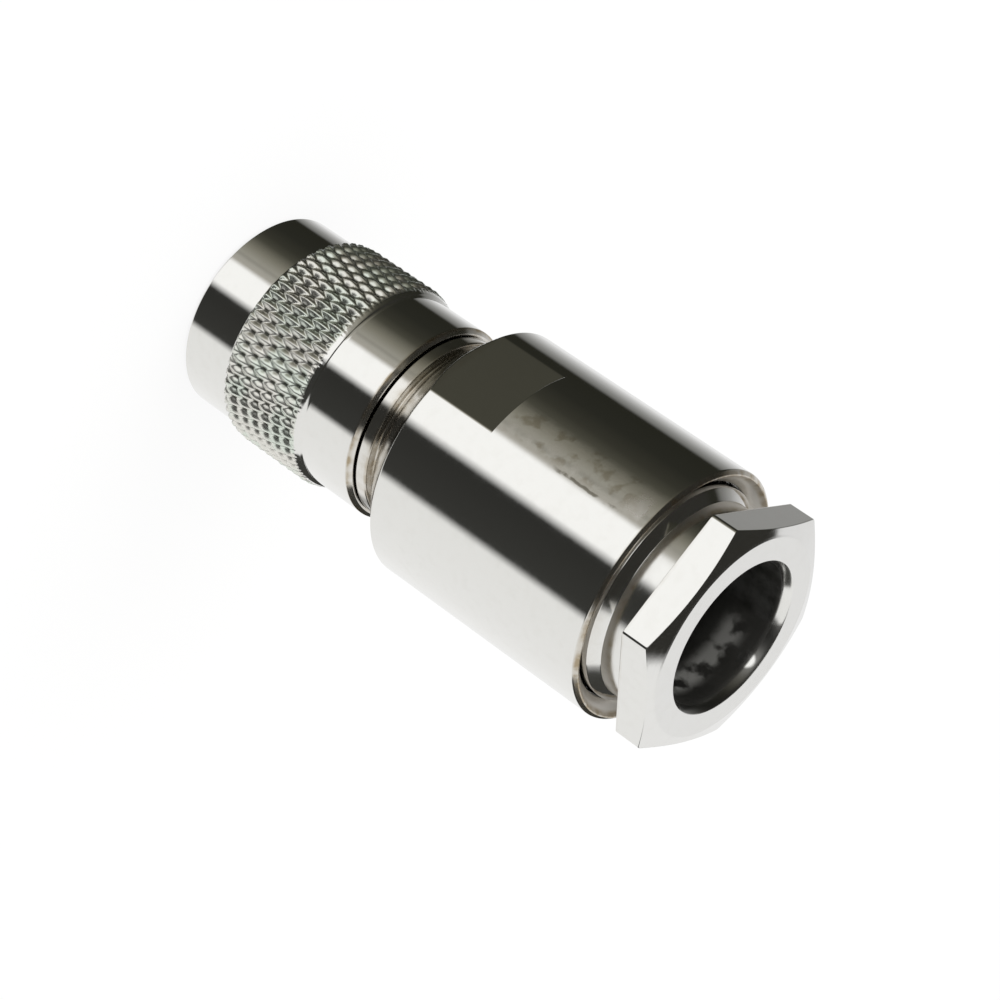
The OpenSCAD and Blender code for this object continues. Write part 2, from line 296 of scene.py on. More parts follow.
barrelBlotSet = {
    "left": 0.2, "right": 3.0, "xSoft": 0.6, "start": 25.9, "rise": 0.7, "end": 38.0, "fall": 0.5,
    "side": (-2.0, -1.0), "spotScale": 0.8, "spotDetail": 3.5, "wave": 4.0,
    "dirt": (0.50, 0.46, 0.39), "dirtFrom": (0.48, 0.62), "dirtShare": 0.75, "dirtGloss": 0.05,
    "haze": (0.80, 0.77, 0.74), "hazeFrom": (0.36, 0.50), "hazeLeast": 0.6, "hazeShare": 0.6,
    "hazeGloss": 0.22, "paleHeight": (35.2, 37.0), "paleX": (0.8, 2.0),
    "line": (0.20, 0.19, 0.15), "lineFrom": (0.42, 0.55), "lineShare": 0.8, "lineWide": (0.05, 0.16),
    "lineSway": 0.35, "lineStart": 30.5, "lineRise": 1.0, "lineEnd": 36.6, "lineFall": 0.6,
}


def barrelBlotMark(w, place, look, s):  # a blotchy strip along the barrel, tan and pale, behind one wrench flat
    x, z = place["x"], place["z"]
    near = 1 - ease(w, place["y"], *s["side"])
    patch = between(w, x, s["left"], s["right"], s["xSoft"], s["xSoft"]) * near
    patch = patch * between(w, z, s["start"], s["end"], s["rise"], s["fall"])
    spots = speckle(w, place["point"], s["spotScale"], s["spotDetail"])
    dirt = patch * ease(w, spots, *s["dirtFrom"])
    haze = patch * (1 - ease(w, spots, *s["hazeFrom"])) * s["hazeLeast"]
    haze = haze + patch * ease(w, z, *s["paleHeight"]) * ease(w, x, *s["paleX"])  # paler towards the mouth
    off = w.sum("ABSOLUTE", x - s["right"] + s["lineSway"] * (place["mottle"] - 0.5))
    line = (1 - ease(w, off, *s["lineWide"])) * near * ease(w, spots, *s["lineFrom"])  # broken and dark
    line = line * between(w, z, s["lineStart"], s["lineEnd"], s["lineRise"], s["lineFall"])
    colour = blendColour(w, dirt * s["dirtShare"], look["colour"], s["dirt"])
    colour = blendColour(w, line * s["lineShare"], colour, s["line"])
    hazeShare = w.node("ShaderNodeClamp", None, {0: haze}) * s["hazeShare"]
    look["colour"] = blendColour(w, hazeShare, colour, s["haze"])
    look["rough"] = look["rough"] + dirt * s["dirtGloss"] + haze * s["hazeGloss"]
    look["height"] = place["mottle"] * (1 + patch * s["wave"])


waistSet = {"start": 38.75, "rise": 0.2, "r": 7.45, "rSoft": 0.1, "gloss": 0.08}


def waistMark(w, place, look, s):  # turned less finely than the rest
    waist = ease(w, place["z"], s["start"], s["start"] + s["rise"])
    waist = waist * (1 - ease(w, place["radius"], s["r"], s["r"] + s["rSoft"]))
    look["rough"] = look["rough"] + waist * s["gloss"]


boreSet = {
    "height": 40.6, "reach": (0.3, 1.4), "side": (2.8, 4.2), "flakeScale": 0.9, "flakeDetail": 5.0,
    "flakeFrom": (0.36, 0.58), "colour": (0.95, 0.95, 0.91), "dull": 0.9,
    "entryR": (5.62, 5.65), "entrySide": (2.6, 3.0), "sootShare": 0.85, "sootGloss": 0.15,
    "glint": (-2.4, 4.75, 42.6), "glintReach": (0.45, 0.7),
}


def boreMark(w, place, look, s):  # a pale dull patch on one side of the cable bore, and soot with painted shade on part of its entry
    away = w.sum("ABSOLUTE", place["z"] - s["height"])
    flakes = ease(w, speckle(w, place["point"], s["flakeScale"], s["flakeDetail"]), *s["flakeFrom"])
    paleDullPatch = place["inside"] * ease(w, place["y"], *s["side"]) * (1 - ease(w, away, *s["reach"])) * flakes
    far = w.node("ShaderNodeVectorMath", {"operation": "DISTANCE"},
                 {0: place["point"], 1: s["glint"]}, "Value")
    # soot and painted shade: one side of the entry is darkened
    sootAndShade = (1 - ease(w, place["radius"], *s["entryR"])) * ease(w, place["y"], *s["entrySide"])
    sootAndShade = sootAndShade * ease(w, far, *s["glintReach"])  # one spot is left out of the painted shade, where the entry shows a glint
    colour = blendColour(w, paleDullPatch, look["colour"], s["colour"])
    look["colour"] = blendColour(w, sootAndShade * s["sootShare"], colour, nickelSet["sootAndShade"])
    look["dull"] = look["dull"] + paleDullPatch * s["dull"]
    look["rough"] = look["rough"] + sootAndShade * s["sootGloss"]


goldSet = {
    "colour": (0.86, 0.62, 0.25), "cloud": (0.92, 0.74, 0.42), "cloudScale": 0.9, "cloudFrom": (0.35, 0.7),
    "gloss": 0.16, "lineRate": 9.0, "lineFrom": (0.4, 0.8), "lineGloss": 0.12, "lineDepth": 0.0000004,
    "fixed": {"Metallic": 1.0},
}
insulatorSet = {
    "colour": (0.90, 0.90, 0.87), "cloud": (0.80, 0.79, 0.74), "cloudScale": 0.7, "cloudFrom": (0.4, 0.75),
    "gloss": 0.42, "lineRate": 7.0, "lineFrom": (0.35, 0.75), "lineGloss": 0.15, "lineDepth": 0.000003,
    "fixed": {"IOR": 1.36},
}


def turnedFinish(name, s):  # clouded colour with lathe lines
    material, w = startMaterial(name)
    place = lathePlace(w)
    cloud = ease(w, speckle(w, place["point"], s["cloudScale"]), *s["cloudFrom"])
    lines = rings(w, place["radius"] + place["z"], s["lineRate"])
    closeMaterial(w, {
        "Base Color": blendColour(w, cloud, s["colour"], s["cloud"]),
        "Roughness": s["gloss"] + s["lineGloss"] * ease(w, lines, *s["lineFrom"]),
        "Normal": bump(w, lines, s["lineDepth"]), **s["fixed"]})
    return material


rubberSet = {
    "colour": (0.022, 0.022, 0.023), "gloss": 0.62, "ior": 1.5,
    "dust": (0.075, 0.073, 0.070), "dustScale": 0.8, "dustFrom": (0.45, 0.8), "dustShare": 0.6,
    "grainScale": 9.0, "grainDetail": 2.0, "grainFrom": (0.3, 0.7), "grainGloss": 0.2, "grainDepth": 0.000012,
}


def rubberFinish(name, s):
    material, w = startMaterial(name)
    place = lathePlace(w)
    grain = speckle(w, place["point"], s["grainScale"], s["grainDetail"])
    dust = ease(w, speckle(w, place["point"], s["dustScale"]), *s["dustFrom"]) * s["dustShare"]
    closeMaterial(w, {
        "Base Color": blendColour(w, dust, s["colour"], s["dust"]), "IOR": s["ior"],
        "Roughness": s["gloss"] + s["grainGloss"] * ease(w, grain, *s["grainFrom"]),
        "Normal": bump(w, grain, s["grainDepth"])})
    return material


knurledNickel = nickelFinish("knurledNickel", nickelSet, nutTarnishAndShade, (knurlMark, knurlSet))
barrelNickel = nickelFinish("barrelNickel", nickelSet, bodyTarnishAndShade,
                            (mouthMark, mouthSet), (shoulderShadeMark, shoulderShadeSet), (barrelBlotMark, barrelBlotSet))
hexNickel = nickelFinish("hexNickel", hexNickelSet, clampTarnishAndShade, (waistMark, waistSet), (boreMark, boreSet))
goldPlate = turnedFinish("goldPlate", goldSet)
whiteInsulator = turnedFinish("whiteInsulator", insulatorSet)
blackRubber = rubberFinish("blackRubber", rubberSet)
print("finishes made")


# turned meshes: a section is a list of radius, height and, where wanted, the corner's own fillet
turnSet = {"straight": 0.03, "mostCut": 0.42, "mostHold": 0.46, "leastTurn": 0.0004, "bent": 0.00002}


def rounded(points, fillet=0.06, steps=4, hold=0.05, closed=True):
    # swaps each corner of a section for a small arc with a holding point on either side
    made, count = [], len(points)
    for i, p in enumerate(points):
        here = Vector(p[:2])
        size = p[2] if len(p) > 2 else fillet
        if size == 0 or (not closed and i in (0, count - 1)):
            made.append(tuple(here))
            continue
        back, on = Vector(points[i - 1][:2]) - here, Vector(points[(i + 1) % count][:2]) - here
        backLength, onLength = back.length, on.length
        back.normalize()
        on.normalize()
        bend = math.pi - back.angle(on)
        if bend < turnSet["straight"]:
            made.append(tuple(here))
            continue
        cut = min(size * math.tan(bend / 2), turnSet["mostCut"] * backLength, turnSet["mostCut"] * onLength)
        centre = here + (back + on).normalized() * (cut / math.tan(bend / 2) / math.cos(bend / 2))
        first, last = here + back * cut - centre, here + on * cut - centre
        made.append(tuple(here + back * min(cut + hold, turnSet["mostHold"] * backLength)))
        for k in range(steps + 1):
            t = k / steps
            swing = (first * math.sin((1 - t) * bend) + last * math.sin(t * bend)) / math.sin(bend)
            made.append(tuple(centre + swing))
        made.append(tuple(here + on * min(cut + hold, turnSet["mostHold"] * onLength)))
    return made


def evenAngles(count):
    return [fullTurn * k / count for k in range(count)]


def withExtra(angles, extra):
    every = sorted({round(a % fullTurn, 6) for a in [*angles, *extra]})
    return [a for i, a in enumerate(every) if i == 0 or a - every[i - 1] > turnSet["leastTurn"]]


def addColumn(bm, section, angle):
    c, s = math.cos(angle), math.sin(angle)
    return [bm.verts.new((r * c * mm, r * s * mm, z * mm)) for r, z in section]


def addTurned(bm, section, angles, shape=None, closed=True):
    columns = []
    for angle in angles:
        spots = [shape(angle, r, z) for r, z in section] if shape else section
        columns.append(addColumn(bm, spots, angle))
    rows = len(section) if closed else len(section) - 1
    for j, here in enumerate(columns):
        there = columns[(j + 1) % len(columns)]
        for i in range(rows):
            k = (i + 1) % len(section)
            a, b, c, d = here[i], there[i], there[k], here[k]
            lean = (a.co.xy.length + c.co.xy.length) - (b.co.xy.length + d.co.xy.length)
            if abs(lean) < turnSet["bent"]:
                bm.faces.new((a, b, c, d))
            elif lean < 0:  # split a bent face along its valley
                bm.faces.new((a, b, c))
                bm.faces.new((a, c, d))
            else:
                bm.faces.new((a, b, d))
                bm.faces.new((b, c, d))


def addStrip(bm, columns):  # faces between columns that aren't a full ring; the end caps come first
    made = [bm.faces.new(columns[0]), bm.faces.new(columns[-1][::-1])]
    count = len(columns[0])
    for here, there in zip(columns, columns[1:]):
        for i in range(count):
            k = (i + 1) % count
            made.append(bm.faces.new((here[i], there[i], there[k], here[k])))
    return made


def addSector(bm, section, start, end, steps):
    columns = [addColumn(bm, section, start + (end - start) * j / steps) for j in range(steps + 1)]
    for cap in addStrip(bm, columns)[:2]:
        for edge in cap.edges:
            edge.smooth = False


threadSet = {
    "flank": 30, "skirt": 0.03, "sink": 0.05, "fillet": 0.05, "filletSteps": 2, "fade": 0.4, "steps": 90,
}


def addThread(bm, s):
    # a right-handed ridge wound along a wall; it grows and dies away over part of a turn
    out = 1 if s["crestR"] > s["wallR"] else -1
    height, half = abs(s["crestR"] - s["wallR"]), s["crestFlat"] / 2
    foot = half + height * math.tan(math.radians(s["flank"]))
    skirt = foot + s["skirt"]
    ridge = rounded([(-skirt, -s["sink"], 0), (-foot, 0, 0), (-half, height), (half, height), (foot, 0, 0),
                     (skirt, -s["sink"], 0)], s["fillet"], s["filletSteps"], s["skirt"])
    turns = (s["end"] - s["start"]) / s["pitch"]
    count = int(turns * s["steps"])
    columns = []
    for j in range(count + 1):
        t = turns * j / count
        grow = min(1.0, t / s["fade"], (turns - t) / s["fade"])
        level = s["start"] + s["pitch"] * t
        section = [(s["wallR"] + out * (lift * grow if lift > 0 else lift), level + along)
                   for along, lift in ridge]
        columns.append(addColumn(bm, section, fullTurn * t))
    bmesh.ops.recalc_face_normals(bm, faces=addStrip(bm, columns))


def makePiece(name, bm, finish, body, nodes):
    mesh = bpy.data.meshes.new(name)
    bm.to_mesh(mesh)
    bm.free()
    mesh.shade_smooth()
    mesh.materials.append(finish)
    piece = bpy.data.objects.new(name, mesh)
    scene.collection.objects.link(piece)
    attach(piece, body)
    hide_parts(*nodes)
    print(name, "made:", len(mesh.polygons), "faces")


# coupling nut with its diamond knurl and inner thread
nutSet = {
    "r": 7.3, "length": high("coupling_nut"), "crestR": reach("coupling_nut"), "edge": 0.3,
    "frontBand": 4.4, "knurlLength": 7.2, "depth": 0.36, "count": 56, "rows": 7, "samples": 6,
    "grooves": 0.55, "waves": 0.10, "pits": 0.35, "pitAcross": 0.17, "pitAlong": 0.25, "crestBand": 0.001,
    "knurlEdge": 0.04, "frontSlope": 2.0, "backSlope": 0.5, "backStep": 0.1,
    "frontRun": 0.15, "backRun": (0.05, 0.2),
    "boreR": 5.15, "majorR": 5.556, "threadDepth": 7.4, "reliefR": 5.75, "flangeFront": 11.35,
    "flangeBoreR": 5.2, "rimLead": 0.55, "rimStart": 0.165,
    "pitch": 0.907, "crestFlat": 0.24, "threadRunOut": 0.3,
}


def couplingNut(s):
    startR, knurlEnd = s["r"] + s["knurlEdge"], s["frontBand"] + s["knurlLength"]
    across, along = math.pi * s["crestR"] / s["count"], s["knurlLength"] / s["rows"]  # half a diamond
    steps = s["rows"] * s["samples"]
    front = rounded([
        (s["boreR"] + s["rimLead"], 0), (s["r"] - s["edge"], 0), (s["r"], s["edge"]),
        (s["r"], s["frontBand"] - s["frontRun"], 0), (s["r"], s["frontBand"], 0)], closed=False)
    knurl = [(s["crestR"], s["frontBand"] + s["knurlLength"] * k / steps) for k in range(steps + 1)]
    back = rounded([
        *((s["r"], knurlEnd + run, 0) for run in s["backRun"]), (s["r"], s["length"] - s["edge"]),
        (s["r"] - s["edge"], s["length"]), (s["flangeBoreR"], s["length"]),
        (s["flangeBoreR"], s["flangeFront"]), (s["reliefR"], s["flangeFront"]),
        (s["reliefR"], s["threadDepth"]), (s["majorR"], s["threadDepth"]),
        (s["majorR"], s["rimStart"])], closed=False)

    def knurled(angle, r, z):
        if r < s["crestR"] - s["crestBand"]:
            return r, z
        u, v = angle / fullTurn * 2 * s["count"], (z - s["frontBand"]) / s["knurlLength"] * s["rows"]
        one, two = ((u + k * v) / 2 % 1 - 0.5 for k in (1, -1))  # from the nearest groove of each set
        groove = 1 - 2 * min(abs(one), abs(two))
        wave = (1 - math.cos(math.pi * u) * math.cos(math.pi * v)) / 2
        aside, ahead = (one + two) * across / s["pitAcross"], (one - two) * along / s["pitAlong"]
        pit = math.exp(-aside ** 2 - ahead ** 2)
        down = s["depth"] * (s["grooves"] * groove + s["waves"] * wave + s["pits"] * pit)
        ends = min((z - s["frontBand"]) * s["frontSlope"], (knurlEnd - z) * s["backSlope"] + s["backStep"])
        return min(s["crestR"] - down, startR + ends), z

    bm = bmesh.new()
    addTurned(bm, front + knurl + back, evenAngles(2 * s["count"] * s["samples"]), knurled)
    addThread(bm, {**threadSet, "wallR": s["majorR"], "crestR": s["boreR"],
                   "crestFlat": s["crestFlat"], "pitch": s["pitch"],
                   "start": s["rimLead"], "end": s["threadDepth"] - s["threadRunOut"]})
    makePiece("couplingNut", bm, knurledNickel, "coupling", ["coupling_nut"])


couplingNut(nutSet)

# body: slotted sleeve, neck, shoulder, cone, barrel with two wrench flats, inner thread
bodySet = {
    "sleeveR": 4.05, "boreR": 3.4, "sleeveFront": low("body"), "tipFillet": 0.2, "tongueFillet": 0.08,
    "slots": 4, "slotW": 0.5, "slotEnd": 6.4, "slotSteps": 40,
    "neckR": 5.0, "neckFront": 8.9, "grooveR": 4.5, "ringFront": 10.2, "ringBack": 11.2,
    "shoulderR": 6.85, "shoulderFront": 16.4, "shoulderFillet": 0.04,
    "backGrooveR": 6.2, "grooveFront": 17.3, "grooveFillet": 0.12,
    "coneR": 7.17, "coneFront": 18.15, "coneFillet": 0.05, "coneSteps": 24,
    "barrelR": reach("body"), "barrelFront": 20.23, "barrelBack": high("body"), "barrelFillet": 0.1,
    "mouthR": 8.05, "mouthLead": 0.85, "mouthFloor": 36.38, "mouthFillet": 0.05,
    "mouthChamfer": 0.25, "chamferFillet": 0.12, "cavityR": 6.95, "cavityFloor": 19.63, "columns": 180,
    "threadRoot": 8.0, "threadCrest": 7.5, "threadFront": 29.98, "threadRunIn": 0.69, "threadRunOut": 0.3,
    "pitch": 1.0583, "crestFlat": 0.16,
    "flatY": 8.63, "flatEnd": 25.73, "flatSoft": 0.012, "flatStep": 0.002, "flatTop": 0.0019,
    "flatFrom": 0.1, "flatStart": 0.01, "flatReach": 0.6, "flatSides": (90, 270), "flatColumns": 32,
    "flatGap": 0.75, "flatEdges": (-0.6, -0.3, -0.1, 0, 0.1, 0.3, 0.6),
    "flatRings": (-3.0, -0.5, -0.1, -0.03, -0.002, -0.0016, 0.0, 0.0016, 0.002, 0.03, 0.1, 0.6),
}


def plugBody(s):
    coneWide, coneTall = s["barrelR"] - s["coneR"], s["barrelFront"] - s["coneFront"]
    cone = [(s["coneR"] + coneWide * k / s["coneSteps"], s["coneFront"] + coneTall * k / s["coneSteps"], 0)
            for k in range(1, s["coneSteps"])]
    wall = [(s["barrelR"], s["flatEnd"] + d, 0) for d in s["flatRings"]]
    section = rounded([
        (s["boreR"], s["slotEnd"]), (s["sleeveR"], s["slotEnd"], 0), (s["sleeveR"], s["neckFront"]),
        (s["neckR"], s["neckFront"]), (s["neckR"], s["ringFront"]), (s["grooveR"], s["ringFront"]),
        (s["grooveR"], s["ringBack"]), (s["neckR"], s["ringBack"]), (s["neckR"], s["shoulderFront"]),
        (s["shoulderR"], s["shoulderFront"], s["shoulderFillet"]),
        (s["shoulderR"], s["grooveFront"], s["grooveFillet"]),
        (s["backGrooveR"], s["grooveFront"], s["grooveFillet"]),
        (s["backGrooveR"], s["coneFront"], s["grooveFillet"]),
        (s["coneR"], s["coneFront"], s["coneFillet"]), *cone,
        (s["barrelR"], s["barrelFront"], s["barrelFillet"]), *wall,
        (s["barrelR"], s["barrelBack"] - s["mouthChamfer"], s["chamferFillet"]),
        (s["barrelR"] - s["mouthChamfer"], s["barrelBack"]),
        (s["mouthR"] + s["mouthLead"], s["barrelBack"], s["mouthFillet"]),
        (s["mouthR"], s["barrelBack"] - s["mouthLead"]), (s["mouthR"], s["mouthFloor"]),
        (s["threadRoot"], s["mouthFloor"]), (s["threadRoot"], s["threadFront"]),
        (s["cavityR"], s["threadFront"]), (s["cavityR"], s["cavityFloor"]), (s["boreR"], s["cavityFloor"])])

    def flatted(angle, r, z):
        side = abs(math.sin(angle))
        along = s["coneFront"] - s["flatStart"] < z < s["flatEnd"] + s["flatTop"]
        if r < s["coneR"] - s["flatFrom"] or side < s["flatReach"] or not along:
            return r, z
        limit = s["flatY"] / side
        cut = (r + limit - math.hypot(r - limit, s["flatSoft"])) / 2  # softened where flat meets round
        lift = min(1.0, max(0.0, (z - s["flatEnd"] + s["flatStep"]) / (2 * s["flatStep"])))
        return cut + (r - cut) * lift, z

    half = math.degrees(math.acos(s["flatY"] / s["barrelR"]))
    offsets = [k * s["flatGap"] for k in range(-s["flatColumns"], s["flatColumns"] + 1)]
    offsets += [side * half + d for side in (-1, 1) for d in s["flatEdges"]]
    extra = [math.radians(middle + d) for middle in s["flatSides"] for d in offsets]
    bm = bmesh.new()
    addTurned(bm, section, withExtra(evenAngles(s["columns"]), extra), flatted)
    slotHalf = math.asin(s["slotW"] / (s["boreR"] + s["sleeveR"]))
    tongue = rounded([
        (s["boreR"], s["sleeveFront"]), (s["sleeveR"], s["sleeveFront"], s["tipFillet"]),
        (s["sleeveR"], s["slotEnd"], 0), (s["boreR"], s["slotEnd"], 0)], s["tongueFillet"])
    for k in range(s["slots"]):
        start = fullTurn * (k - 0.5) / s["slots"]
        addSector(bm, tongue, start + slotHalf, start + fullTurn / s["slots"] - slotHalf, s["slotSteps"])
    addThread(bm, {**threadSet, "wallR": s["threadRoot"], "crestR": s["threadCrest"],
                   "crestFlat": s["crestFlat"], "pitch": s["pitch"],
                   "start": s["threadFront"] + s["threadRunIn"], "end": s["mouthFloor"] - s["threadRunOut"]})
    makePiece("plugBody", bm, barrelNickel, "plug_body", ["body"])


plugBody(bodySet)

# clamp nut: hex, waist, collar, threaded shank and cable bore
clampSet = {
    "shankFront": low("clamp_nut"), "shankR": 7.35, "edge": 0.3,
    "collarFront": 36.98, "collarR": 7.9, "collarBack": 38.13, "collarFillet": 0.08,
    "waistR": 7.25, "coneFillet": 0.03, "waistFillet": 0.1,
    "hexBack": 40.88, "hexEnd": high("clamp_nut"), "acrossFlats": 15.875, "hexTurn": 267.0,
    "hexFoot": 0.2, "hexFrom": 0.1, "hexFillet": 0.08, "faceR": 7.3375, "faceFillet": 0.15, "endAngle": 18.0,
    "cornerRound": 0.34, "columns": 240,
    "cornerEdges": (-1.4, -1.1, -0.9, -0.7, -0.5, -0.25, 0, 0.25, 0.5, 0.7, 0.9, 1.1, 1.4),
    "boreR": 5.25, "entryFlare": 0.42, "entryDepth": 0.95, "entrySteps": 10, "entryFillet": 0.05,
    "crestR": 7.9, "pitch": 1.0583, "crestFlat": 0.16, "threadStart": 31.2, "threadRunOut": 0.35,
}


def clampNut(s):
    sixth, twelfth = math.radians(60), math.radians(30)
    inR = s["acrossFlats"] / 2
    cornerR = inR / math.cos(twelfth)
    slope = math.tan(math.radians(s["endAngle"]))
    sideTop = s["hexEnd"] - (cornerR - s["faceR"]) * slope
    foot = s["waistR"] + s["hexFoot"]
    centre = (inR - s["cornerRound"]) / math.cos(twelfth)
    arc = math.atan2(s["cornerRound"] * math.sin(twelfth), centre + s["cornerRound"] * math.cos(twelfth))

    def hexR(angle):
        d = abs((angle - math.radians(s["hexTurn"]) + twelfth) % sixth - twelfth)
        if d < arc:
            return centre * math.cos(d) + math.sqrt(s["cornerRound"] ** 2 - (centre * math.sin(d)) ** 2)
        return inR / math.cos(twelfth - d)

    def hexed(angle, r, z):
        if r <= foot or z < s["hexBack"] - s["hexFrom"]:
            return r, z
        there = foot + (r - foot) * (hexR(angle) - foot) / (cornerR - foot)
        share = min(1.0, max(0.0, (z - s["hexBack"]) / (sideTop - s["hexBack"])))
        return there, z + (r - there) * slope * share

    turn = 2 * math.atan(s["entryFlare"] / s["entryDepth"])
    entryR, entryFront = s["entryDepth"] / math.sin(turn), s["hexEnd"] - s["entryDepth"]
    bends = [turn * k / s["entrySteps"] for k in range(s["entrySteps"] - 1, -1, -1)]
    entry = [(s["boreR"] + entryR * (1 - math.cos(bend)), entryFront + entryR * math.sin(bend), 0)
             for bend in bends]
    section = rounded([
        (s["boreR"], s["shankFront"]), (s["shankR"] - s["edge"], s["shankFront"]),
        (s["shankR"], s["shankFront"] + s["edge"]), (s["shankR"], s["collarFront"]),
        (s["collarR"], s["collarFront"]), (s["collarR"], s["collarBack"], s["collarFillet"]),
        (s["waistR"], s["collarBack"] + s["collarR"] - s["waistR"], s["coneFillet"]),
        (s["waistR"], s["hexBack"], s["waistFillet"]), (cornerR, s["hexBack"], s["hexFillet"]),
        (cornerR, sideTop, s["hexFillet"]), (s["faceR"], s["hexEnd"], s["faceFillet"]),
        (s["boreR"] + s["entryFlare"], s["hexEnd"], s["entryFillet"]), *entry])
    corners = [math.radians(s["hexTurn"] + 60 * k + d) for k in range(6) for d in s["cornerEdges"]]
    bm = bmesh.new()
    addTurned(bm, section, withExtra(evenAngles(s["columns"]), corners), hexed)
    addThread(bm, {**threadSet, "wallR": s["shankR"], "crestR": s["crestR"],
                   "crestFlat": s["crestFlat"], "pitch": s["pitch"],
                   "start": s["threadStart"], "end": s["collarFront"] - s["threadRunOut"]})
    makePiece("clampNut", bm, hexNickel, "clamp", ["clamp_nut"])


clampNut(clampSet)

# gold contact: pin, shank and solder cup
contactSet = {
    "tip": low("centre_contact"), "pinR": 0.675, "tipFillet": 0.3, "pinFillet": 0.5,
    "shoulder": 8.9, "shankR": 1.025, "cupFront": 14.53, "cupR": 1.575, "back": high("centre_contact"),
    "cupBoreR": 1.175, "cupFloor": 16.63, "fillet": 0.05, "columns": 64, "weld": 0.0000002,
}


def centreContact(s):
    section = rounded([
        (0, s["tip"]), (s["pinR"] / 2, s["tip"], s["tipFillet"]),
        (s["pinR"], s["tip"] + s["pinR"], s["pinFillet"]), (s["pinR"], s["shoulder"]),
        (s["shankR"], s["shoulder"]), (s["shankR"], s["cupFront"]), (s["cupR"], s["cupFront"]),
        (s["cupR"], s["back"]), (s["cupBoreR"], s["back"]), (s["cupBoreR"], s["cupFloor"]),
        (0, s["cupFloor"])], s["fillet"], closed=False)
    bm = bmesh.new()
    addTurned(bm, section, evenAngles(s["columns"]), closed=False)
    bmesh.ops.remove_doubles(bm, verts=bm.verts, dist=s["weld"])
    makePiece("centreContact", bm, goldPlate, "plug_body", ["centre_contact"])


centreContact(contactSet)

# front insulator: a tube with the socket, the pin's hole and the cup's seat
socketSet = {
    "front": low("front_insulator"), "back": high("front_insulator"), "r": 3.35, "socketR": 2.425,
    "floor": 8.9, "pinHoleR": 1.075, "cupFront": 14.48, "cupR": 1.625, "lipFillet": 0.12, "floorFillet": 0.1,
    "columns": 96,
}


def frontInsulator(s):
    section = rounded([
        (s["socketR"], s["front"], s["lipFillet"]), (s["r"], s["front"], s["lipFillet"]), (s["r"], s["back"]),
        (s["cupR"], s["back"]), (s["cupR"], s["cupFront"]), (s["pinHoleR"], s["cupFront"]),
        (s["pinHoleR"], s["floor"]), (s["socketR"], s["floor"], s["floorFillet"])])
    bm = bmesh.new()
    addTurned(bm, section, evenAngles(s["columns"]))
    makePiece("frontInsulator", bm, whiteInsulator, "plug_body", ["front_insulator"])


frontInsulator(socketSet)

# rubber rings: one round the sleeve, one round the cable with a notched front
faceSealSet = {
    "inR": 4.1, "outR": 4.95, "front": low("face_seal"), "back": high("face_seal"),
    "notch": 0, "soft": 0.22, "softSteps": 5, "columns": 128,
}
cableSealSet = {
    "inR": 5.3, "outR": 6.9, "front": low("cable_seal"), "back": high("cable_seal"),
    "notch": 0.8, "soft": 0.14, "softSteps": 5, "columns": 128,
}


def rubberRing(name, s, node):
    notch = [(s["inR"] + s["notch"], s["front"] + s["notch"])] if s["notch"] else []
    section = rounded([
        (s["inR"], s["front"]), *notch, (s["outR"], s["front"]), (s["outR"], s["back"]),
        (s["inR"], s["back"])], s["soft"], s["softSteps"])
    bm = bmesh.new()
    addTurned(bm, section, evenAngles(s["columns"]))
    makePiece(name, bm, blackRubber, "plug_body", [node])


rubberRing("faceSeal", faceSealSet, "face_seal")
rubberRing("cableSeal", cableSealSet, "cable_seal")

keptNodes = {"spring_ring": barrelNickel, "braid_clamp": barrelNickel, "slip_washer": hexNickel,
             "rear_insulator": whiteInsulator}
for node, finish in keptNodes.items():
    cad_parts[node].material_slots[0].material = finish
print("kept solids dressed:", len(keptNodes))

# studio: strips of light and dark round the plug, as the polished plating shows them,
# by azimuth in degrees from -Y towards +X
studioStrips = [
    (-180, (0.98, 0.98, 0.97)), (-125, (0.85, 0.85, 0.85)),  # pale paper
    (-104, (0.36, 0.36, 0.35)), (-99, (0.26, 0.26, 0.25)), (-95, (0.20, 0.20, 0.19)),  # grey wall
    (-90, (0.022, 0.022, 0.016)), (-60, (0.026, 0.026, 0.020)),  # dark side
    (-42, (0.042, 0.041, 0.031)), (-32, (0.072, 0.070, 0.053)), (-18, (0.24, 0.23, 0.185)),  # warm wall
    (-8, (0.36, 0.35, 0.30)), (-5, (0.30, 0.29, 0.25)), (-2, (0.42, 0.41, 0.36)), (3, (0.44, 0.42, 0.37)),
    (8, (1.15, 1.15, 1.13)), (35, (1.15, 1.15, 1.13)),  # white card
    (43, (0.032, 0.032, 0.029)), (85, (0.044, 0.044, 0.040)),  # dark card
    (92, (0.93, 0.93, 0.91)), (180, (0.98, 0.98, 0.97)),  # pale paper
]
studioSet = {
    "plain": (1.0, 1.0, 0.99), "white": (1.0, 1.0, 1.0),
    "ceiling": (0.030, 0.029, 0.025), "ceilingEdge": (0.79, 0.83), "ceilingFrom": -0.13, "ceilingLean": 0.45,
    "skylight": (0.70, 0.70, 0.68), "skylightEdge": (0.95, 0.97),
    "corner": (0.05, 0.05, 0.045), "cornerX": (-0.40, -0.34), "cornerY": (0.76, 0.80),
    "cornerZ": (-0.34, -0.26), "cornerLean": 0.5, "cornerTop": (0.20, 0.28),
}


